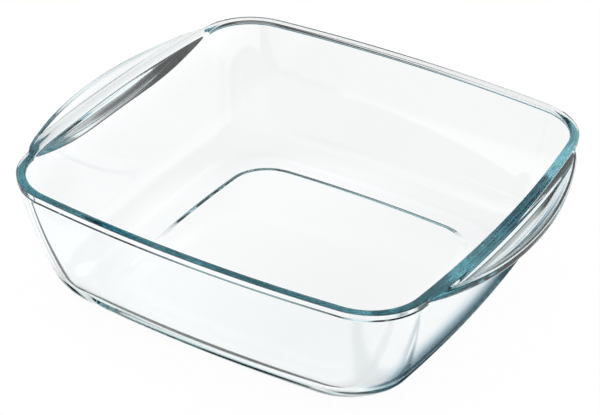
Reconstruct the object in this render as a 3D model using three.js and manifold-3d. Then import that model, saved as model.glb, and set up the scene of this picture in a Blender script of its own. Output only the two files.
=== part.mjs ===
// A square baking dish of clear pressed glass with two crescent handles.
// Millimetres, +Z up. The origin is the middle of the foot, on the surface that the dish stands on.
// The handles are at -X and +X. The one pressing is divided into the zones that a drawing of it names.
import * as THREE from 'three';
import { mergeVertices } from 'three/addons/utils/BufferGeometryUtils.js';
import Module from 'manifold-3d';

const wasm = await Module();
wasm.setup();

// Driving dimensions of the body
const BODY_WIDTH = 220;            // across the rim, the same both ways
const BODY_HEIGHT = 67;            // from the foot to the top of the rim
const SIDE_BOW_RADIUS = 724;       // plan radius of the slightly bowed sides
const RIM_CORNER_RADIUS = 31;      // plan radius of the rim's corners, outside
const RIM_BEAD_PROUD = 0.5;        // how far the rim's bead stands out past the wall
const RIM_BEAD_DEPTH = 2.9;        // from the bead's underside to the top of the rim
const RIM_GROOVE_WIDTH = 1.3;      // height of the fine groove under the bead
const RIM_GROOVE_DEPTH = 0.7;      // how far the groove goes into the wall
const RIM_GROOVE_BACK = 0.3;       // from the bead's underside down to the groove's deepest line
const RIM_EDGE_ROUND = 0.5;        // outer edge of the rim's level top
const RIM_LIP_ROUND = 1.3;         // inner edge of the rim's level top
const WALL_THICKNESS = 4.4;
const WALL_RADIUS = 300;           // the wall's slight outward curve, seen in section
const FLOOR_THICKNESS = 5;
const COVE_RADIUS = 18.5;          // inside bend between the floor and the wall
const FOOT_INSET = 32.3;           // from the rim's outer face in to the edge of the flat foot
const FOOT_CORNER_RADIUS = 30;     // plan radius of the foot's corners
const BOTTOM_RADIUS = 21.3;        // outside bend between the foot and the wall
const FOOT_LAND = 7.7;             // width of the foot's flat land round the recessed panel
const PANEL_CORNER_RADIUS = 23.6;
const PANEL_DEPTH = 0.66;
const PANEL_STEP = 3.2;            // width of the sloping step round the panel

// Driving dimensions of the handles
const HANDLE_REACH = 13.2;         // beyond the rim, at the middle of the side
const HANDLE_END_RUN = 2.5;        // how far each end runs on past the start of the rim's corner
const HANDLE_EDGE_THICKNESS = 5.6;
const HANDLE_EDGE_ROUND = 1.7;
const HANDLE_LIP_DROP = 1.6;       // from the top of the rim to the lip of the outer edge
const HANDLE_ROOT_DEPTH = 14.3;    // from the top of the rim to where the underside's slope meets the inside
const HANDLE_END_FALL = 1.2;       // fall of the underside to the inside at the handle's ends
const SHOULDER_WIDTH = 3.25;       // level strip between the rim and the thumb scoop, at the middle
const SHOULDER_DROP = 0.6;         // from the top of the rim to that strip
const SCOOP_BOW_RADIUS = 960;      // plan radius of the scoop's upright wall, flatter than the side
const SCOOP_DEPTH = 3.8;           // from the top of the rim to the deepest line of the scoop
const SCOOP_WALL_LEAN = 0.1;       // how far the scoop's upright wall leans back
const SCOOP_END_STRIP = 0.15;      // level strip kept behind the outer edge where the scoop has run out

// Where the pressing is divided
const RIM_SEAM_DEPTH = 1;          // seam between rim and walls, below the groove
const FLOOR_SEAM_INSET = 1;        // seam round the floor, inside the edge of the foot
const HANDLE_END_OVERLAP = 1.5;    // the handle's ends run on inside the rim before they are trimmed by it

// Fineness of the round stretches
const SIDE_STEPS = 6;
const CORNER_STEPS = 8;
const BEND_STEPS = 7;
const WALL_STEPS = 4;
const ROUND_STEPS = 3;
const HANDLE_STEPS = 28;
const EDGE_STEPS = 4;
const SCOOP_STEPS = 5;
const EDGE_FLAT = 0.1;             // least upright strip left between the two rounds of the handle's edge

const halfWidth = BODY_WIDTH / 2;
const halfFoot = halfWidth - FOOT_INSET;
const beadUnderside = BODY_HEIGHT - RIM_BEAD_DEPTH;

// A point on a circle
function onCircle(centre, radius, angle) {
  return new THREE.Vector2(centre.x + radius * Math.cos(angle), centre.y + radius * Math.sin(angle));
}

// Points along an arc, with both ends
function arcPoints(centre, radius, from, to, steps) {
  const points = [];
  for (let i = 0; i <= steps; i += 1) {
    points.push(onCircle(centre, radius, from + ((to - from) * i) / steps));
  }
  return points;
}

// Both ordinates of a corner's centre, for which a bowed side runs smoothly into the corner
function cornerCentre(half, cornerRadius) {
  const sideCentre = half - SIDE_BOW_RADIUS;
  const inner = SIDE_BOW_RADIUS - cornerRadius;
  return (sideCentre + Math.sqrt(2 * inner * inner - sideCentre * sideCentre)) / 2;
}

// Half the angle of a bowed side, at its end towards the corner
function sideEndAngle(half, cornerRadius) {
  const corner = cornerCentre(half, cornerRadius);
  return Math.atan2(corner, corner - half + SIDE_BOW_RADIUS);
}

// Plan outline: four bowed sides and four round corners, from the right side round to the front
function outline(half, cornerRadius) {
  const corner = cornerCentre(half, cornerRadius);
  const sideAngle = sideEndAngle(half, cornerRadius);
  const sideMiddle = new THREE.Vector2(half - SIDE_BOW_RADIUS, 0);
  const cornerMiddle = new THREE.Vector2(corner, corner);
  const quarter = [
    ...arcPoints(sideMiddle, SIDE_BOW_RADIUS, -sideAngle, sideAngle, SIDE_STEPS),
    ...arcPoints(cornerMiddle, cornerRadius, sideAngle, Math.PI / 2 - sideAngle, CORNER_STEPS).slice(1, -1),
  ];
  const points = [];
  for (let side = 0; side < 4; side += 1) {
    quarter.forEach((p) => points.push(p.clone().rotateAround(new THREE.Vector2(), (side * Math.PI) / 2)));
  }
  return points;
}

// Corner radius of the outside at a given half width, from the foot's to the rim's
function outsideCorner(half) {
  const share = (half - halfFoot) / (halfWidth - halfFoot);
  return THREE.MathUtils.lerp(FOOT_CORNER_RADIUS, RIM_CORNER_RADIUS, share);
}

function outsideRing(section) {
  return outline(section.x, outsideCorner(section.x)).map((p) => new THREE.Vector3(p.x, p.y, section.y));
}

// The inside follows the outside, one wall thickness in
function insideRing(section) {
  const corner = outsideCorner(section.x + WALL_THICKNESS) - WALL_THICKNESS;
  return outline(section.x, corner).map((p) => new THREE.Vector3(p.x, p.y, section.y));
}

// Section of the wall: x is the half width at the middle of a side and y is the height
const bottomCentre = new THREE.Vector2(halfFoot, BOTTOM_RADIUS);
const wallTop = new THREE.Vector2(halfWidth - RIM_BEAD_PROUD, beadUnderside - RIM_GROOVE_WIDTH);

// Centre of the wall's arc, which ends at the top of the wall and runs smoothly into the bottom bend
function wallArcCentre() {
  const span = wallTop.clone().sub(bottomCentre);
  const reach = WALL_RADIUS - BOTTOM_RADIUS;
  const along = (reach * reach - WALL_RADIUS * WALL_RADIUS + span.lengthSq()) / (2 * span.length());
  const aside = Math.sqrt(reach * reach - along * along);
  const direction = span.clone().normalize();
  const normal = new THREE.Vector2(-direction.y, direction.x);
  return bottomCentre.clone().addScaledVector(direction, along).addScaledVector(normal, aside);
}

const wallCentre = wallArcCentre();
const insideRadius = WALL_RADIUS - WALL_THICKNESS;

// Outside, from the edge of the foot up to the top of the wall
function outsideSection() {
  const bend = Math.asin((bottomCentre.y - wallCentre.y) / (WALL_RADIUS - BOTTOM_RADIUS));
  const top = Math.asin((wallTop.y - wallCentre.y) / WALL_RADIUS);
  return [
    ...arcPoints(bottomCentre, BOTTOM_RADIUS, -Math.PI / 2, bend, BEND_STEPS),
    ...arcPoints(wallCentre, WALL_RADIUS, bend, top, WALL_STEPS).slice(1),
  ];
}

// Inside, from the rim down to the edge of the level floor
function insideSection() {
  const coveHeight = FLOOR_THICKNESS + COVE_RADIUS;
  const rise = coveHeight - wallCentre.y;
  const reach = insideRadius - COVE_RADIUS;
  const coveCentre = new THREE.Vector2(wallCentre.x + Math.sqrt(reach * reach - rise * rise), coveHeight);
  const lipFoot = BODY_HEIGHT - RIM_LIP_ROUND;
  const top = Math.asin((lipFoot - wallCentre.y) / insideRadius);
  const bend = Math.asin(rise / reach);
  return [
    ...arcPoints(wallCentre, insideRadius, top, bend, WALL_STEPS),
    ...arcPoints(coveCentre, COVE_RADIUS, bend, -Math.PI / 2, BEND_STEPS).slice(1),
  ];
}

// The level top of the rim with its two rounded edges, from its outer face over to the inside of the wall
function crownSection(insideTop) {
  const edge = new THREE.Vector2(halfWidth - RIM_EDGE_ROUND, BODY_HEIGHT - RIM_EDGE_ROUND);
  const lip = new THREE.Vector2(insideTop.x + RIM_LIP_ROUND, BODY_HEIGHT - RIM_LIP_ROUND);
  return [
    ...arcPoints(edge, RIM_EDGE_ROUND, 0, Math.PI / 2, ROUND_STEPS),
    ...arcPoints(lip, RIM_LIP_ROUND, Math.PI / 2, Math.PI, ROUND_STEPS),
  ];
}

// A closed solid through a row of sections with equal counts of points, with flat ends
function loft(sections, flatten) {
  const count = sections[0].length;
  const positions = sections.flat().flatMap((p) => [p.x, p.y, p.z]);
  const faces = [];
  for (let j = 0; j + 1 < sections.length; j += 1) {
    for (let i = 0; i < count; i += 1) {
      const next = (i + 1) % count;
      const low = j * count;
      const high = low + count;
      faces.push(low + i, low + next, high + next, low + i, high + next, high + i);
    }
  }
  const last = (sections.length - 1) * count;
  THREE.ShapeUtils.triangulateShape(sections[0].map(flatten), [])
    .forEach(([a, b, c]) => faces.push(a, c, b));
  THREE.ShapeUtils.triangulateShape(sections[sections.length - 1].map(flatten), [])
    .forEach(([a, b, c]) => faces.push(last + a, last + b, last + c));
  const geometry = new THREE.BufferGeometry();
  geometry.setAttribute('position', new THREE.Float32BufferAttribute(positions, 3));
  geometry.setIndex(faces);
  return geometry;
}

function toSolid(geometry) {
  geometry.deleteAttribute('normal');
  geometry.deleteAttribute('uv');
  const merged = mergeVertices(geometry);
  return new wasm.Manifold(new wasm.Mesh({
    numProp: 3,
    vertProperties: new Float32Array(merged.attributes.position.array),
    triVerts: new Uint32Array(merged.index.array),
  }));
}

const inside = insideSection();
const crown = crownSection(inside[0]);
const groove = new THREE.Vector2(wallTop.x - RIM_GROOVE_DEPTH, beadUnderside - RIM_GROOVE_BACK);
const beadFoot = new THREE.Vector2(halfWidth, beadUnderside);
const outsideRings = [...outsideSection(), groove, beadFoot].map(outsideRing);
const crownRings = crown.map((p) => outline(p.x, RIM_CORNER_RADIUS - halfWidth + p.x)
  .map((q) => new THREE.Vector3(q.x, q.y, p.y)));

// Recessed panel under the floor and its sloping step
function panelRings() {
  const half = halfFoot - FOOT_LAND;
  const panel = outline(half - PANEL_STEP, PANEL_CORNER_RADIUS - PANEL_STEP);
  const land = outline(half, PANEL_CORNER_RADIUS);
  return [
    panel.map((p) => new THREE.Vector3(p.x, p.y, PANEL_DEPTH)),
    land.map((p) => new THREE.Vector3(p.x, p.y, 0)),
  ];
}

const plan = (p) => new THREE.Vector2(p.x, p.y);
const insideRings = inside.slice(1).map(insideRing);
const body = toSolid(loft([...panelRings(), ...outsideRings, ...crownRings, ...insideRings], plan));
const envelope = toSolid(loft([...outsideRings, ...crownRings.slice(0, ROUND_STEPS + 1)], plan));

// Plan of the right handle: its outer edge is an arc from corner to corner of the side
const rimFace = (y) => halfWidth - SIDE_BOW_RADIUS + Math.sqrt(SIDE_BOW_RADIUS ** 2 - y ** 2);
const sideEnd = SIDE_BOW_RADIUS * Math.sin(sideEndAngle(halfWidth, RIM_CORNER_RADIUS));
const handleEnd = sideEnd + HANDLE_END_RUN;
const handleRise = halfWidth + HANDLE_REACH - rimFace(handleEnd);
const handleRadius = (handleEnd ** 2 + handleRise ** 2) / (2 * handleRise);
const handleEdge = (y) => halfWidth + HANDLE_REACH - handleRadius + Math.sqrt(handleRadius ** 2 - y ** 2);
const scoopBow = (y) => SCOOP_BOW_RADIUS - Math.sqrt(SCOOP_BOW_RADIUS ** 2 - y ** 2);
const scoopWall = (y) => halfWidth + SHOULDER_WIDTH - scoopBow(y);

// Section of the right handle at y, counted round from the foot of its root
function handleSection(y) {
  const face = rimFace(y);
  const edge = handleEdge(y);
  const root = face - halfWidth + inside[0].x;
  const grown = THREE.MathUtils.smoothstep(edge - face, 0, HANDLE_REACH);
  const shoulder = BODY_HEIGHT - SHOULDER_DROP;
  const open = Math.max(edge - HANDLE_EDGE_ROUND - SCOOP_END_STRIP - scoopWall(y), 0);
  const scooped = Math.sqrt(open / (HANDLE_REACH - HANDLE_EDGE_ROUND - SCOOP_END_STRIP - SHOULDER_WIDTH));
  const lip = THREE.MathUtils.lerp(shoulder, BODY_HEIGHT - HANDLE_LIP_DROP, scooped);
  const deep = THREE.MathUtils.lerp(shoulder, BODY_HEIGHT - SCOOP_DEPTH, scooped);
  const edgeUnder = BODY_HEIGHT - HANDLE_LIP_DROP - HANDLE_EDGE_THICKNESS;
  const under = THREE.MathUtils.lerp(beadUnderside, edgeUnder, grown);
  const foot = THREE.MathUtils.lerp(under - HANDLE_END_FALL, BODY_HEIGHT - HANDLE_ROOT_DEPTH, grown);
  const round = Math.min(HANDLE_EDGE_ROUND, (lip - under) / 2 - EDGE_FLAT);
  const lowEdge = new THREE.Vector2(edge - round, under + round);
  const highEdge = new THREE.Vector2(edge - round, lip - round);
  const wall = Math.min(scoopWall(y), highEdge.x - SCOOP_END_STRIP);
  const scoop = new THREE.QuadraticBezierCurve(
    new THREE.Vector2(highEdge.x, lip),
    new THREE.Vector2((highEdge.x + wall) / 2, deep),
    new THREE.Vector2(wall, deep),
  );
  return [
    new THREE.Vector2(root, foot),
    ...arcPoints(lowEdge, round, -Math.PI / 2, 0, EDGE_STEPS),
    ...arcPoints(highEdge, round, 0, Math.PI / 2, EDGE_STEPS),
    ...scoop.getPoints(SCOOP_STEPS).slice(1),
    new THREE.Vector2(wall - SCOOP_WALL_LEAN, shoulder),
    new THREE.Vector2(root, shoulder),
  ];
}

// One handle, trimmed by the outside of the body: side is 1 on the right and -1 on the left
function handle(side) {
  const end = handleEnd + HANDLE_END_OVERLAP;
  const sections = [];
  for (let i = 0; i <= HANDLE_STEPS; i += 1) {
    const y = end * (1 - (2 * i) / HANDLE_STEPS);
    sections.push(handleSection(y).map((p) => new THREE.Vector3(side * p.x, side * y, p.y)));
  }
  const upright = (p) => new THREE.Vector2(side * p.x, p.z);
  return toSolid(loft(sections, upright)).subtract(envelope);
}

// A box between two corners
function box(low, high) {
  const size = high.clone().sub(low);
  const middle = low.clone().add(high).multiplyScalar(0.5);
  return toSolid(new THREE.BoxGeometry(size.x, size.y, size.z).translate(middle.x, middle.y, middle.z));
}

// A prism over the flat foot, which takes the floor out of the body
function floorPrism() {
  const shape = new THREE.Shape(outline(halfFoot - FLOOR_SEAM_INSET, FOOT_CORNER_RADIUS - FLOOR_SEAM_INSET));
  const geometry = new THREE.ExtrudeGeometry(shape, { depth: BODY_HEIGHT, bevelEnabled: false });
  return toSolid(geometry.translate(0, 0, -BODY_HEIGHT / 2));
}

const overFloor = floorPrism();
const sides = body.subtract(overFloor);
const cornerSeam = outline(halfFoot, FOOT_CORNER_RADIUS)[SIDE_STEPS + CORNER_STEPS / 2].x;
const rimSeam = wallTop.y - RIM_SEAM_DEPTH;
const far = BODY_WIDTH;
const bands = [[-far, -cornerSeam], [-cornerSeam, cornerSeam], [cornerSeam, far]];

// The zones round the floor and below the rim, by row from front to back and by column from left to right
const sideNames = [
  ['front_left_corner', 'front_wall', 'front_right_corner'],
  ['left_wall', null, 'right_wall'],
  ['back_left_corner', 'back_wall', 'back_right_corner'],
];

const glass = new THREE.MeshStandardMaterial({
  color: 0xd5e6e8,
  roughness: 0.04,
  metalness: 0,
  transparent: true,
  opacity: 0.35,
});

function toMesh(name, solid) {
  const { vertProperties, triVerts } = solid.getMesh();
  const geometry = new THREE.BufferGeometry();
  geometry.setAttribute('position', new THREE.BufferAttribute(vertProperties, 3));
  geometry.setIndex(new THREE.BufferAttribute(triVerts, 1));
  const mesh = new THREE.Mesh(geometry, glass);
  mesh.name = name;
  return mesh;
}

const dish = new THREE.Group();
dish.add(toMesh('floor', body.intersect(overFloor)));
sideNames.forEach((row, j) => row.forEach((name, i) => {
  if (name) {
    const low = new THREE.Vector3(bands[i][0], bands[j][0], -far);
    const high = new THREE.Vector3(bands[i][1], bands[j][1], rimSeam);
    dish.add(toMesh(name, sides.intersect(box(low, high))));
  }
}));
const aboveSeam = box(new THREE.Vector3(-far, -far, rimSeam), new THREE.Vector3(far, far, far));
dish.add(toMesh('rim', sides.intersect(aboveSeam)));
dish.add(toMesh('left_handle', handle(-1)));
dish.add(toMesh('right_handle', handle(1)));

export default dish;
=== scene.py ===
import math

import bmesh
import bpy
from mathutils import Matrix, Vector


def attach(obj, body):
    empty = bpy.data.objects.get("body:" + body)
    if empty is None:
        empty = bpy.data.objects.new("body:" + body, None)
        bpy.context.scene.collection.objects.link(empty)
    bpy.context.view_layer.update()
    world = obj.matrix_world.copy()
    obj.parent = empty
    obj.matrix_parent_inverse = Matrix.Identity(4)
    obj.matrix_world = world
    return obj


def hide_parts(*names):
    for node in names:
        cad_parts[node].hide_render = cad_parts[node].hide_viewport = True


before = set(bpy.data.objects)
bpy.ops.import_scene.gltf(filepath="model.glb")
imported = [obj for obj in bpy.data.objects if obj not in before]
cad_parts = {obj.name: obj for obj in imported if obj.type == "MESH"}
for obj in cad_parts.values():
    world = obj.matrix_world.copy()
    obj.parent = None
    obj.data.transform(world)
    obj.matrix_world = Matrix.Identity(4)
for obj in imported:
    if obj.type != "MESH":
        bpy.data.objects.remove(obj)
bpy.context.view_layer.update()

# The dish: one pressing of clear ovenproof glass, 220 mm square at the rim, with two crescent handles.
# It is one piece, so it is one closed skin here, grown ring by ring from the middle of the underside out,
# up the outside, over the rim and the handles, and down to the floor inside. Its sizes are in millimetres.
BODY_WIDTH = 220
BODY_HEIGHT = 67
SIDE_BOW_RADIUS = 724
RIM_CORNER_RADIUS = 31
FOOT_CORNER_RADIUS = 30
FOOT_INSET = 32.3
WALL_THICKNESS = 4.4
SIDE_STEPS = 40
CORNER_STEPS = 24
QUARTER_STEPS = SIDE_STEPS + CORNER_STEPS
RING_POINTS = 4 * QUARTER_STEPS
CLOSING_SHARES = (0.8, 0.6, 0.4, 0.2)
MILLIMETRE = 0.001

half_width = BODY_WIDTH / 2
half_foot = half_width - FOOT_INSET


def lerp(a, b, share):
    return a + (b - a) * share


def ease(value, low, high):
    """0 up to low, 1 from high on, and a smooth rise between."""
    share = min(max((value - low) / (high - low), 0), 1)
    return share * share * (3 - 2 * share)


def plan_point(place, half, corner_radius):
    """Point number place of a plan outline: a square of four bowed sides with round corners.
    The points lie closer together towards the ends of a side, where the handles run out."""
    quarter, step = divmod(place, QUARTER_STEPS)
    side_centre = half - SIDE_BOW_RADIUS
    inner = SIDE_BOW_RADIUS - corner_radius
    corner = (side_centre + math.sqrt(2 * inner**2 - side_centre**2)) / 2
    side_end = math.atan2(corner, corner - side_centre)
    if step <= SIDE_STEPS:
        share = 2 * step / SIDE_STEPS - 1
        angle = side_end * (share + math.sin(share * math.pi / 2)) / 2
        point = Vector((side_centre + SIDE_BOW_RADIUS * math.cos(angle), SIDE_BOW_RADIUS * math.sin(angle)))
    else:
        share = (step - SIDE_STEPS) / CORNER_STEPS
        angle = lerp(side_end, math.pi / 2 - side_end, share)
        point = Vector((corner + corner_radius * math.cos(angle), corner + corner_radius * math.sin(angle)))
    return Matrix.Rotation(quarter * math.pi / 2, 2) @ point


def outside_corner(half):
    """Plan radius of the outside's corners, from the foot's to the rim's."""
    return lerp(FOOT_CORNER_RADIUS, RIM_CORNER_RADIUS, (half - half_foot) / (half_width - half_foot))


def inside_corner(half):
    """The inside follows the outside, one wall thickness in."""
    return outside_corner(half + WALL_THICKNESS) - WALL_THICKNESS


def arc(centre, radius, start, end, steps):
    """Points (half width, height) along an arc of the section, both ends included, angles in degrees."""
    angles = [math.radians(lerp(start, end, i / steps)) for i in range(steps + 1)]
    return [(centre[0] + radius * math.cos(a), centre[1] + radius * math.sin(a)) for a in angles]


dish = bmesh.new()
place_layer = dish.verts.layers.int.new("place")
first_ring = bmesh.ops.create_circle(dish, segments=RING_POINTS, radius=1)["verts"]
first_ring.sort(key=lambda v: math.atan2(v.co.y, v.co.x))
for place, vert in enumerate(first_ring):
    vert[place_layer] = place
ring_edges = list(dish.edges)


def shape_ring(verts, position):
    for vert in verts:
        vert.co = Vector(position(vert[place_layer])) * MILLIMETRE


def grow_ring(position):
    """Extrudes the open end of the skin by one ring and puts its points in place."""
    global ring_edges
    made = bmesh.ops.extrude_edge_only(dish, edges=ring_edges)["geom"]
    ring_edges = [e for e in made if isinstance(e, bmesh.types.BMEdge)]
    shape_ring([v for v in made if isinstance(v, bmesh.types.BMVert)], position)


def flat_ring(half, corner_radius, height):
    return lambda place: (*plan_point(place, half, corner_radius), height)


def close_ring(half, corner_radius, height):
    """Closes the open end over a level face, with half as many points in each ring towards the middle."""
    global ring_edges
    for share in CLOSING_SHARES:
        grow_ring(flat_ring(half * share, corner_radius * share, height))
        ring = sorted({v for e in ring_edges for v in e.verts}, key=lambda v: v[place_layer])
        bmesh.ops.weld_verts(dish, targetmap=dict(zip(ring[1::2], ring[::2])))
        ring = set(ring[::2])
        ring_edges = [e for e in dish.edges if e.is_boundary and ring.issuperset(e.verts)]
    bmesh.ops.contextual_create(dish, geom=ring_edges)


# The underside: a panel recessed by two thirds of a millimetre, so the dish stands on a flat land round it.
# The panel's edge is a soft slope, because the mould leaves no sharp corner in hot glass. At the front and
# on the right the slope is longer, so that its line fades out there.
FOOT_LAND = 7.7
PANEL_CORNER_RADIUS = 23.6
PANEL_DEPTH = 0.66
PANEL_STEP = 3.2
PANEL_STEP_RINGS = 10
PANEL_SOFT = 0.1
PANEL_TOP_INSET = 2 * PANEL_STEP
PANEL_SPREAD = 2.8
PANEL_SPREAD_FRONT = (7, 32)
PANEL_SPREAD_RIGHT = (46, 72)


def slope(share, soft):
    """Rises from 0 to 1 in a straight slope with a short soft start and end."""
    ends = min(share, soft) ** 2 / 2 - max(share - 1 + soft, 0) ** 2 / 2
    return (ends + soft * max(share - soft, 0)) / (soft * (1 - soft))


def panel_ring(share):
    """A ring of the panel's slope, from 0 at its top to 1 on the land."""
    def position(place):
        x, y = plan_point(place, half_panel, PANEL_CORNER_RADIUS)
        longer = max(ease(-y, *PANEL_SPREAD_FRONT), ease(x, *PANEL_SPREAD_RIGHT))
        inset = (PANEL_STEP + PANEL_SPREAD * longer) * (1 - share)
        height = PANEL_DEPTH * (1 - slope(share, PANEL_SOFT))
        return (*plan_point(place, half_panel - inset, PANEL_CORNER_RADIUS - inset), height)
    return position


half_panel = half_foot - FOOT_LAND
panel_top = half_panel - PANEL_TOP_INSET
panel_top_corner = PANEL_CORNER_RADIUS - PANEL_TOP_INSET
shape_ring(first_ring, flat_ring(panel_top, panel_top_corner, PANEL_DEPTH))
underside_edges = list(ring_edges)
for i in range(PANEL_STEP_RINGS + 1):
    grow_ring(panel_ring(i / PANEL_STEP_RINGS))
grow_ring(flat_ring(half_panel + FOOT_LAND / 2, lerp(PANEL_CORNER_RADIUS, FOOT_CORNER_RADIUS, 0.5), 0))

# The walls: pressed in one with the floor and a little thinner. They rise from the foot by a wide bend and
# lean out in a slight curve up to the groove under the rim.
BOTTOM_RADIUS = 21.3
WALL_RADIUS = 300
RIM_BEAD_PROUD = 0.5
RIM_BEAD_DEPTH = 2.9
RIM_GROOVE_WIDTH = 1.3
RIM_GROOVE_DEPTH = 0.7
RIM_GROOVE_BACK = 0.3
BEND_RINGS = 10
WALL_RINGS = 6
WALL_END_GAP = 0.9

bead_underside = BODY_HEIGHT - RIM_BEAD_DEPTH
wall_top = Vector((half_width - RIM_BEAD_PROUD, bead_underside - RIM_GROOVE_WIDTH))
bend_centre = Vector((half_foot, BOTTOM_RADIUS))
span = wall_top - bend_centre
bend_reach = WALL_RADIUS - BOTTOM_RADIUS
along = (bend_reach**2 - WALL_RADIUS**2 + span.length_squared) / (2 * span.length)
aside = math.sqrt(bend_reach**2 - along**2)
wall_centre = bend_centre + span.normalized() * along + Vector((-span.y, span.x)).normalized() * aside
bend_end = math.degrees(math.asin((bend_centre.y - wall_centre.y) / bend_reach))


def wall_half(height, radius=WALL_RADIUS):
    """Half width at the middle of a side, at a height on the wall's outside or, by its radius, inside."""
    return wall_centre.x + math.sqrt(radius**2 - (height - wall_centre.y) ** 2)


bend = arc(bend_centre, BOTTOM_RADIUS, -90, bend_end, BEND_RINGS)
for half, height in bend:
    grow_ring(flat_ring(half, outside_corner(half), height))

# The handles: a crescent on the left and on the right side, pressed in one with the rim. Its top is flush
# with the rim, then drops by a straight wall into a scoop for the thumb and rises to a lip. Underneath,
# where the fingers take hold, a straight slope runs into the wall with a small fillet at its root.
HANDLE_REACH = 13.2
HANDLE_END_RUN = 2.5
HANDLE_END_SOFT = 1.2
HANDLE_EDGE_THICKNESS = 5.6
HANDLE_EDGE_ROUND = 1.7
HANDLE_LIP_DROP = 1.6
HANDLE_ROOT_DEPTH = 13
HANDLE_ROOT_ROUND = 1.2
HANDLE_BLEND = 4
SHOULDER_WIDTH = 3.25
SHOULDER_DROP = 0.6
SHOULDER_SOFT = 0.35
SCOOP_BOW_RADIUS = 960
SCOOP_DEPTH = 3.8
SCOOP_WALL_LEAN = 0.1
SCOOP_END_STRIP = 0.15
SCOOP_EDGE_ROUND = 0.3
EDGE_FLAT = 0.1
EDGE_TURN = 60
EDGE_STEPS = 3
SCOOP_CORNER_CUT = 0.2
ROOT_SHARES = (0, 0.25, 0.5, 0.75, 1)
UNDERSIDE_SHARES = (0.33, 0.67, 1)
SCOOP_SHARES = (0, 0.12, 0.26, 0.42, 0.58, 0.75, 0.9, 1)
TOP_SHARES = (0.12, 0.28, 0.4, 0.46, 0.53, 0.62, 0.8, 1)

corner = plan_point(SIDE_STEPS, half_width, RIM_CORNER_RADIUS)
handle_end = corner.y + HANDLE_END_RUN


def bow(y, radius):
    return radius - math.sqrt(radius**2 - y**2)


handle_rise = HANDLE_REACH + bow(handle_end, SIDE_BOW_RADIUS)
handle_radius = (handle_end**2 + handle_rise**2) / (2 * handle_rise)


def handle_reach(place):
    """How far the handle's edge stands out from the rim's face at a point of the outline."""
    x, y = (abs(c) for c in plan_point(place, half_width, RIM_CORNER_RADIUS))
    if y > x:
        return 0
    out = half_width + HANDLE_REACH - bow(y, handle_radius) - x - max(y - handle_end, 0)
    if out >= HANDLE_END_SOFT:
        return out
    return max(out + HANDLE_END_SOFT, 0) ** 2 / (4 * HANDLE_END_SOFT)


# The rim: a bead round the mouth, half a millimetre proud of the wall outside, with a fine groove under it,
# and flush with the wall inside. Its top is nearly level, with a small round at the outer edge and a softer
# one inside.
RIM_EDGE_ROUND = 0.5
RIM_LIP_ROUND = 1.3
RIM_DOME = 0.15
BEAD_EDGE_ROUND = 0.25
BEAD_STEPS = 5
BEAD_TOP_TURN = 85

inside_radius = WALL_RADIUS - WALL_THICKNESS
crown_foot = BODY_HEIGHT - RIM_DOME - RIM_LIP_ROUND
inside_top = wall_half(crown_foot, inside_radius)
crown_half = (half_width - inside_top) / 2


def dome(out):
    """Height of the rim's slightly domed top at a distance out from the rim's face."""
    return BODY_HEIGHT - RIM_DOME * ((out + crown_half) / crown_half) ** 2


def crown_height(out):
    """Height of the rim's top from its middle out over the round of its outer edge."""
    over = min(max(out + RIM_EDGE_ROUND, 0), RIM_EDGE_ROUND)
    edge_drop = RIM_EDGE_ROUND - math.sqrt(RIM_EDGE_ROUND**2 - over**2)
    return dome(min(out, 0)) - edge_drop


def bead_line():
    """The bead's section from the wall up to the middle of the rim's top. A point is its distance out from
    the rim's face, and its height."""
    groove = -RIM_BEAD_PROUD - RIM_GROOVE_DEPTH
    low_centre = (-BEAD_EDGE_ROUND, bead_underside + BEAD_EDGE_ROUND)
    edge_centre = (-RIM_EDGE_ROUND, dome(0) - RIM_EDGE_ROUND)
    return [
        (-RIM_BEAD_PROUD, wall_top.y),
        (groove, bead_underside - RIM_GROOVE_BACK),
        *arc(low_centre, BEAD_EDGE_ROUND, -90, 0, BEAD_STEPS),
        *arc(edge_centre, RIM_EDGE_ROUND, 0, BEAD_TOP_TURN, BEAD_STEPS),
        (-crown_half, BODY_HEIGHT),
    ]


def bezier(a, b, c, shares):
    """Points of a curve from a to c that is drawn towards b."""
    return [tuple((1 - t) ** 2 * p + 2 * t * (1 - t) * q + t * t * r for p, q, r in zip(a, b, c))
            for t in shares]


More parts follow.
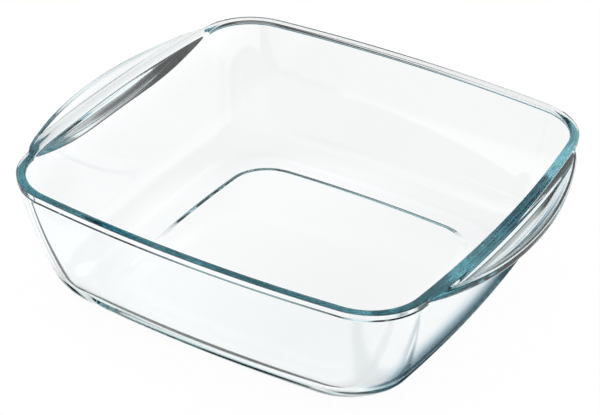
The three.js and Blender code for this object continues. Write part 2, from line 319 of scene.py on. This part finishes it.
def handle_line(y, reach):
    """The handle's section, as bead_line: from the wall out under the handle, round its edge, over the lip
    and the scoop to the shoulder, and in to the middle of the rim's top."""
    face = half_width - bow(y, SIDE_BOW_RADIUS)
    grown = ease(reach, 0, HANDLE_REACH)
    shoulder = BODY_HEIGHT - SHOULDER_DROP
    scoop_wall = half_width + SHOULDER_WIDTH - bow(y, SCOOP_BOW_RADIUS) - face
    scoop_full = HANDLE_REACH - HANDLE_EDGE_ROUND - SCOOP_END_STRIP - SHOULDER_WIDTH
    scoop_open = max(reach - HANDLE_EDGE_ROUND - SCOOP_END_STRIP - scoop_wall, 0)
    scooped = math.sqrt(min(scoop_open / scoop_full, 1))
    lip = lerp(shoulder, BODY_HEIGHT - HANDLE_LIP_DROP, scooped)
    deep = lerp(shoulder, BODY_HEIGHT - SCOOP_DEPTH, scooped)
    under = lerp(bead_underside, BODY_HEIGHT - HANDLE_LIP_DROP - HANDLE_EDGE_THICKNESS, grown)
    foot = lerp(bead_underside - HANDLE_ROOT_ROUND, BODY_HEIGHT - HANDLE_ROOT_DEPTH, grown)
    rounding = min(HANDLE_EDGE_ROUND, (lip - under) / 2 - EDGE_FLAT)
    edge = reach - rounding
    wall = min(scoop_wall, edge - SCOOP_END_STRIP)
    root = wall_half(foot) - half_width
    soft = min(SCOOP_EDGE_ROUND, (shoulder - deep) / 3, (edge - wall) / 3)
    run = Vector((edge - root, under - foot)).normalized() * HANDLE_ROOT_ROUND
    wall_below = (wall_half(foot - HANDLE_ROOT_ROUND) - half_width, foot - HANDLE_ROOT_ROUND)
    underside = [
        *bezier(wall_below, (root, foot), (root + run.x, foot + run.y), ROOT_SHARES),
        *((lerp(root + run.x, edge, t), lerp(foot + run.y, under, t)) for t in UNDERSIDE_SHARES),
    ]
    scoop = bezier((edge, lip), ((edge + wall) / 2, deep), (wall + soft, deep), SCOOP_SHARES)
    lean = SCOOP_WALL_LEAN * scooped
    cut = SCOOP_CORNER_CUT * soft
    top = []
    for share in TOP_SHARES:
        out = lerp(wall - lean - soft, -crown_half, share)
        rise = crown_height(out) - shoulder
        top.append((out, shoulder + (rise + math.sqrt(rise**2 + SHOULDER_SOFT**2)) / 2))
    top[-1] = (-crown_half, BODY_HEIGHT)
    return [
        *underside,
        *arc((edge, under + rounding), rounding, -EDGE_TURN, 0, EDGE_STEPS),
        *arc((edge, lip - rounding), rounding, 0, EDGE_TURN, EDGE_STEPS),
        *scoop,
        (wall + cut, deep + cut),
        (wall, deep + soft),
        (wall - lean / 2, (shoulder + deep) / 2),
        (wall - lean, shoulder - soft),
        (wall - lean - cut, shoulder - cut),
        (wall - lean - soft, shoulder),
        *top,
    ]


def spread(line, count):
    """A line of points divided anew into count points at equal distances."""
    lengths = [0]
    for a, b in zip(line, line[1:]):
        lengths.append(lengths[-1] + math.dist(a, b))
    points = []
    for i in range(count):
        goal = lengths[-1] * i / (count - 1)
        k = max(j for j in range(len(line) - 1) if lengths[j] <= goal)
        share = (goal - lengths[k]) / (lengths[k + 1] - lengths[k])
        points.append(tuple(lerp(p, q, min(share, 1)) for p, q in zip(line[k], line[k + 1])))
    return points


reaches = [handle_reach(place) for place in range(RING_POINTS)]
station_count = len(handle_line(0, HANDLE_REACH))
plain_bead = spread(bead_line(), station_count)
edge_lines = []
for place, reach in enumerate(reaches):
    x, y = plan_point(place, half_width, RIM_CORNER_RADIUS)
    blend = ease(reach, 0, HANDLE_BLEND)
    points = [Vector((*plan_point(place, half_width + out, RIM_CORNER_RADIUS + out), height))
              for out, height in plain_bead]
    if blend > 0:
        side = math.copysign(1, x)
        for j, (out, height) in enumerate(handle_line(y, reach)):
            points[j] = points[j].lerp(Vector((x + side * out, y, height)), blend)
    edge_lines.append(points)

wall_foot = bend[-1][1]
for i in range(1, WALL_RINGS + 1):
    def wall_position(place, share=i / WALL_RINGS):
        height = lerp(wall_foot, edge_lines[place][0].z - WALL_END_GAP, share)
        half = wall_half(height)
        return (*plan_point(place, half, outside_corner(half)), height)
    grow_ring(wall_position)
for j in range(station_count):
    grow_ring(lambda place: edge_lines[place][j])

# The inside: shaped by the plunger of the press. The rim's top runs down flush into the wall, and the wall
# runs by a wide cove into the level floor.
FLOOR_THICKNESS = 5
COVE_RADIUS = 18.5
COVE_RINGS = 9
INSIDE_WALL_RINGS = 6
LIP_TURN = 95
LIP_RINGS = 8
CROWN_INNER_SHARE = 1.25
FLOOR_BORDER = 4

lip_centre = inside_top - half_width + RIM_LIP_ROUND
crown_inner = crown_half * CROWN_INNER_SHARE
grow_ring(flat_ring(half_width - crown_inner, RIM_CORNER_RADIUS - crown_inner, dome(-crown_inner)))
for i in range(LIP_RINGS + 1):
    angle = math.radians(lerp(LIP_TURN, 180, i / LIP_RINGS))
    out = lip_centre + RIM_LIP_ROUND * math.cos(angle)
    height = crown_foot + RIM_LIP_ROUND * math.sin(angle)
    grow_ring(flat_ring(half_width + out, RIM_CORNER_RADIUS + out, height))
cove_height = FLOOR_THICKNESS + COVE_RADIUS
cove_reach = inside_radius - COVE_RADIUS
cove_rise = cove_height - wall_centre.y
cove_centre = (wall_centre.x + math.sqrt(cove_reach**2 - cove_rise**2), cove_height)
cove_start = math.degrees(math.asin(cove_rise / cove_reach))
cove = arc(cove_centre, COVE_RADIUS, cove_start, -90, COVE_RINGS)
for i in range(1, INSIDE_WALL_RINGS):
    height = lerp(crown_foot, cove[0][1], i / INSIDE_WALL_RINGS)
    half = wall_half(height, inside_radius)
    grow_ring(flat_ring(half, inside_corner(half), height))
for half, height in cove:
    grow_ring(flat_ring(half, inside_corner(half), height))
floor_half = cove[-1][0] - FLOOR_BORDER
floor_corner = inside_corner(cove[-1][0]) - FLOOR_BORDER
grow_ring(flat_ring(floor_half, floor_corner, FLOOR_THICKNESS))
close_ring(floor_half, floor_corner, FLOOR_THICKNESS)
ring_edges = underside_edges
close_ring(panel_top, panel_top_corner, PANEL_DEPTH)
bmesh.ops.recalc_face_normals(dish, faces=dish.faces)

dish_mesh = bpy.data.meshes.new("glass_dish")
dish.to_mesh(dish_mesh)
dish.free()
dish_mesh.shade_smooth()
glass_dish = bpy.data.objects.new("glass_dish", dish_mesh)
bpy.context.scene.collection.objects.link(glass_dish)
smooth = glass_dish.modifiers.new("fire_polish", "SUBSURF")
smooth.levels = smooth.render_levels = 1

# The glass: clear and ovenproof, with the faint teal that shows where the eye looks along it.
# Pressing leaves a slight waviness in its faces, and use a trace of wear in its polish.
GLASS_IOR = 1.473
GLASS_TINT = (0.077, 0.77, 0.877, 1)
GLASS_TINT_DENSITY = 4.5
WAVES_PER_METRE = 30
WAVE_DETAIL = 1
WAVE_HEIGHT = 0.00001
WEAR_PER_METRE = 160
WEAR_DETAIL = 3
WEAR_RANGE = (0.5, 0.8)
WEAR_ROUGHNESS = 0.006


def add_node(tree, kind, *inputs, **settings):
    """Adds a node with its settings and returns its first output. Of its inputs, in order, a socket is linked
    and a number is set."""
    node = tree.nodes.new(kind)
    for name, value in settings.items():
        setattr(node, name, value)
    for socket, value in zip(node.inputs, inputs):
        if isinstance(value, bpy.types.NodeSocket):
            tree.links.new(value, socket)
        elif value is not None:
            socket.default_value = value
    return node.outputs[0]


clear_glass = bpy.data.materials.new("clear_glass")
clear_glass.use_nodes = True
tree = clear_glass.node_tree
glass = tree.nodes["Principled BSDF"]
glass.inputs["Base Color"].default_value = (1, 1, 1, 1)
glass.inputs["Transmission Weight"].default_value = 1
glass.inputs["IOR"].default_value = GLASS_IOR
spot = tree.nodes.new("ShaderNodeTexCoord").outputs["Object"]
waves = add_node(tree, "ShaderNodeTexNoise", spot, None, WAVES_PER_METRE, WAVE_DETAIL)
waviness = add_node(tree, "ShaderNodeBump", 1, WAVE_HEIGHT, None, waves)
tree.links.new(waviness, glass.inputs["Normal"])
wear = add_node(tree, "ShaderNodeTexNoise", spot, None, WEAR_PER_METRE, WEAR_DETAIL)
polish = add_node(tree, "ShaderNodeMapRange", wear, *WEAR_RANGE, 0, WEAR_ROUGHNESS)
tree.links.new(polish, glass.inputs["Roughness"])
tint = tree.nodes.new("ShaderNodeVolumeAbsorption")
tint.inputs["Color"].default_value = GLASS_TINT
tint.inputs["Density"].default_value = GLASS_TINT_DENSITY
tree.links.new(tint.outputs["Volume"], tree.nodes["Material Output"].inputs["Volume"])
dish_mesh.materials.append(clear_glass)

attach(glass_dish, "root")
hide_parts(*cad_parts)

# The table: a white sheet, a hair below the foot. The glass sees it lit in soft zones and dark far off, with
# a painted shadow of the dish on it: a thin black strip in front of the foot and a blue-grey one at its
# right, which draw the dark lines in the lower edges of the glass. The camera sees the table white, without
# the painted shadow. Places are in metres, each with the blur on either side of it.
TABLE_DROP = 0.0003
TABLE_RADIUS = 3
TABLE_SEGMENTS = 128
TABLE_PAINT = (0.9, 0.9, 0.9, 1)
TABLE_ROUGHNESS = 0.9
TABLE_SHADOW = 0.1
CAMERA_GLOW = 1.03
TABLE_GLOW = 0.995
FLOOR_ZONE = (0.092, 0.015)
FLOOR_TURN = (-0.005, 0.06)
FLOOR_GLOW_LEFT = 1.105
FLOOR_GLOW_RIGHT = 1.015
FRONT_ZONE = (-0.02, 0.02)
FRONT_GLOW = 1.025
LEFT_WALL_ZONE = (-0.112, 0.006)
LEFT_WALL_GLOW = 0.965
LEFT_ZONE = (-0.1625, 0.0225)
LEFT_GLOW = 1.06
HIGH_ZONE = (0.163, 0.006)
HIGH_GLOW = 0.945
BACK_ZONE_START = (0.1015, 0.003)
BACK_ZONE_END = (0.1105, 0.003)
BACK_ZONE_LEFT = (-0.06, 0.02)
BACK_GLOW = 0.95
# The painted shadow of the dish on the table, seen only through the glass: a black strip in front of the foot
# and a blue-grey one at its right.
FRONT_SHADOW_START = (-0.0898, 0.001)
FRONT_SHADOW_END = (-0.0968, 0.002)
SIDE_SHADOW_START = (0.087, 0.006)
SIDE_SHADOW_END = (0.103, 0.005)
SIDE_SHADOW_BACK = (0.115, 0.035)
SIDE_SHADOW_LEVEL = 0.12
SIDE_SHADOW_COLOUR = (0.55, 1, 1.25, 1)
LIT_EDGE = (0.4, 0.03)
FAR_LEVEL = 0.08
BACK_RIGHT_TURN = 0.3
BACK_RIGHT_EDGE = (0.02, 0.03)

table = bmesh.new()
bmesh.ops.create_circle(table, cap_ends=True, segments=TABLE_SEGMENTS, radius=TABLE_RADIUS)
bmesh.ops.translate(table, verts=table.verts, vec=(0, 0, -TABLE_DROP))
table_mesh = bpy.data.meshes.new("table")
table.to_mesh(table_mesh)
table.free()
table_top = bpy.data.objects.new("table", table_mesh)
bpy.context.scene.collection.objects.link(table_top)
white = bpy.data.materials.new("white_table")
white.use_nodes = True
tree = white.node_tree
paint = tree.nodes["Principled BSDF"]
paint.inputs["Base Color"].default_value = TABLE_PAINT
paint.inputs["Roughness"].default_value = TABLE_ROUGHNESS


def soft_step(value, place, blur, low=0, high=1):
    """Goes from low to high as value passes place."""
    return add_node(tree, "ShaderNodeMapRange", value, place - blur, place + blur, low, high,
                    interpolation_type="SMOOTHSTEP")


def combine(operation, first, second):
    return add_node(tree, "ShaderNodeMath", first, second, operation=operation)


def mix_levels(share, low, high):
    return add_node(tree, "ShaderNodeMix", share, None, low, high, data_type="FLOAT")


rays = tree.nodes.new("ShaderNodeLightPath").outputs
spot = tree.nodes.new("ShaderNodeTexCoord").outputs["Object"]
axes = tree.nodes.new("ShaderNodeSeparateXYZ")
tree.links.new(spot, axes.inputs[0])
x, y = axes.outputs["X"], axes.outputs["Y"]
from_middle = tree.nodes.new("ShaderNodeVectorMath")
from_middle.operation = "LENGTH"
tree.links.new(spot, from_middle.inputs[0])
distance = from_middle.outputs["Value"]

floor_glow = soft_step(x, *FLOOR_TURN, FLOOR_GLOW_LEFT, FLOOR_GLOW_RIGHT)
left_glow = soft_step(x, *LEFT_ZONE, LEFT_GLOW, LEFT_WALL_GLOW)
high_glow = soft_step(y, *HIGH_ZONE, TABLE_GLOW, HIGH_GLOW)
wall_glow = soft_step(x, *LEFT_WALL_ZONE, left_glow, high_glow)
zone_glow = combine("MAXIMUM", soft_step(distance, *FLOOR_ZONE, floor_glow, wall_glow),
                    soft_step(y, *FRONT_ZONE, FRONT_GLOW, 0))
back_zone = combine("MULTIPLY", soft_step(y, *BACK_ZONE_START), soft_step(y, *BACK_ZONE_END, 1, 0))
back_zone = combine("MULTIPLY", back_zone, soft_step(x, *BACK_ZONE_LEFT))
table_glow = mix_levels(back_zone, zone_glow, BACK_GLOW)

# Painted shadow: the black strip in front of the foot and the blue-grey one at the right darken the table's
# glow.
front_shadow = combine("MAXIMUM", soft_step(y, *FRONT_SHADOW_START), soft_step(y, *FRONT_SHADOW_END, 1, 0))
side = combine("MULTIPLY", soft_step(x, *SIDE_SHADOW_START), soft_step(x, *SIDE_SHADOW_END, 1, 0))
side = combine("MULTIPLY", side, soft_step(y, *SIDE_SHADOW_BACK, 1, 0))
painted_shadows = combine("MULTIPLY", front_shadow, mix_levels(side, 1, SIDE_SHADOW_LEVEL))
back_right = combine("ADD", x, combine("MULTIPLY", y, BACK_RIGHT_TURN))
far = combine("MAXIMUM", soft_step(distance, *LIT_EDGE, 1, FAR_LEVEL),
              soft_step(back_right, *BACK_RIGHT_EDGE))
lit = combine("MULTIPLY", painted_shadows, combine("MULTIPLY", far, table_glow))

glow_strength = mix_levels(rays["Is Camera Ray"], lit, CAMERA_GLOW)
# The blue-grey tint of the painted shadow at the right, for rays from the glass only.
side_shadow_tint = combine("MULTIPLY", side, combine("SUBTRACT", 1, rays["Is Camera Ray"]))
glow_colour = add_node(tree, "ShaderNodeMixRGB", side_shadow_tint, (1, 1, 1, 1), SIDE_SHADOW_COLOUR)
glow = add_node(tree, "ShaderNodeEmission", glow_colour, glow_strength)
through_glass = combine("MAXIMUM", rays["Is Glossy Ray"], rays["Is Transmission Ray"])
glow_share = combine("MAXIMUM", through_glass, combine("MULTIPLY", rays["Is Camera Ray"], 1 - TABLE_SHADOW))
mix = add_node(tree, "ShaderNodeMixShader", glow_share, paint.outputs[0], glow)
tree.links.new(mix, tree.nodes["Material Output"].inputs["Surface"])
table_mesh.materials.append(white)

# The studio: a white dome to the camera and the table. To the glass it is a dark room, with a softly lit wall
# and a small light at the back, a light left of the camera, a dim one round it, a low one on the right, and a
# black flag at the back left. Each is a direction, with the cosines where it begins and where it is full.
ROOM_LEVEL = 0.06
WALL_LIGHT = ((-0.28, 0.862, 0.423), 0.9, 0.995)
WALL_LEVEL = 0.42
BACK_LIGHT = ((-0.1, 0.83, 0.545), 0.97, 0.995)
FRONT_LIGHT = ((-0.6275, -0.5265, 0.5736), 0.924, 0.948)
CAMERA_SIDE = ((0.41, -0.73, 0.54), 0.7, 0.9)
CAMERA_SIDE_LEVEL = 0.22
SIDE_LIGHT = ((0.766, 0.643, 0), 0.7, 0.82)
SIDE_LIGHT_TOP = (0.25, 0.05)
FLAG = ((-0.505, 0.561, 0.656), 0.961, 0.988)
FLAG_LEVEL = 0.03
AFTER_TABLE = 0.5

world = bpy.data.worlds.new("studio")
world.use_nodes = True
bpy.context.scene.world = world
tree = world.node_tree
rays = tree.nodes.new("ShaderNodeLightPath").outputs
gaze = tree.nodes.new("ShaderNodeTexCoord").outputs["Generated"]
axes = tree.nodes.new("ShaderNodeSeparateXYZ")
tree.links.new(gaze, axes.inputs[0])


def towards(direction, start, end):
    """1 where the glass looks in this direction, falling to 0 between two cosines of the angle from it."""
    facing = tree.nodes.new("ShaderNodeVectorMath")
    facing.operation = "DOT_PRODUCT"
    tree.links.new(gaze, facing.inputs[0])
    facing.inputs[1].default_value = direction
    return soft_step(facing.outputs["Value"], (start + end) / 2, (end - start) / 2)


walls = mix_levels(towards(*WALL_LIGHT), ROOM_LEVEL, WALL_LEVEL)
side_light = combine("MULTIPLY", towards(*SIDE_LIGHT), soft_step(axes.outputs["Z"], *SIDE_LIGHT_TOP, 1, 0))
camera_side = combine("MULTIPLY", towards(*CAMERA_SIDE), CAMERA_SIDE_LEVEL)
front_light = combine("MAXIMUM", towards(*FRONT_LIGHT), camera_side)
lights = combine("MAXIMUM", combine("MAXIMUM", towards(*BACK_LIGHT), front_light), side_light)
room = mix_levels(towards(*FLAG), mix_levels(lights, walls, 1), FLAG_LEVEL)
on_table = combine("GREATER_THAN", rays["Diffuse Depth"], AFTER_TABLE)
level = mix_levels(combine("MAXIMUM", on_table, rays["Is Camera Ray"]), room, 1)
tree.nodes["Background"].inputs["Color"].default_value = (1, 1, 1, 1)
tree.links.new(level, tree.nodes["Background"].inputs["Strength"])

# The camera: a long lens, above the dish and to the right of its front, with a slight roll. Light caught in
# the rim turns many times before it gets out, and that gives the rim its teal, so the renderer follows it
# that far. The focal length and the sensor are in millimetres, places in metres and the roll in degrees.
FOCAL_LENGTH = 120.2
SENSOR_WIDTH = 36
CAMERA_PLACE = Vector((0.39514, -0.71255, 0.55774))
CAMERA_TARGET = Vector((-0.00349, 0.00404, 0.03))
CAMERA_ROLL = 2.751
GLASS_BOUNCES = 40
TABLE_BOUNCES = 4

lens = bpy.data.cameras.new("camera")
lens.sensor_width = SENSOR_WIDTH
lens.lens = FOCAL_LENGTH
camera = bpy.data.objects.new("camera", lens)
aim = (CAMERA_PLACE - CAMERA_TARGET).to_track_quat("Z", "Y").to_matrix().to_4x4()
roll = Matrix.Rotation(math.radians(CAMERA_ROLL), 4, "Z")
camera.matrix_world = Matrix.Translation(CAMERA_PLACE) @ aim @ roll
bpy.context.scene.collection.objects.link(camera)
bpy.context.scene.camera = camera

bpy.context.scene.view_settings.view_transform = "Standard"
cycles = bpy.context.scene.cycles
cycles.max_bounces = cycles.transmission_bounces = cycles.glossy_bounces = GLASS_BOUNCES
cycles.diffuse_bounces = TABLE_BOUNCES
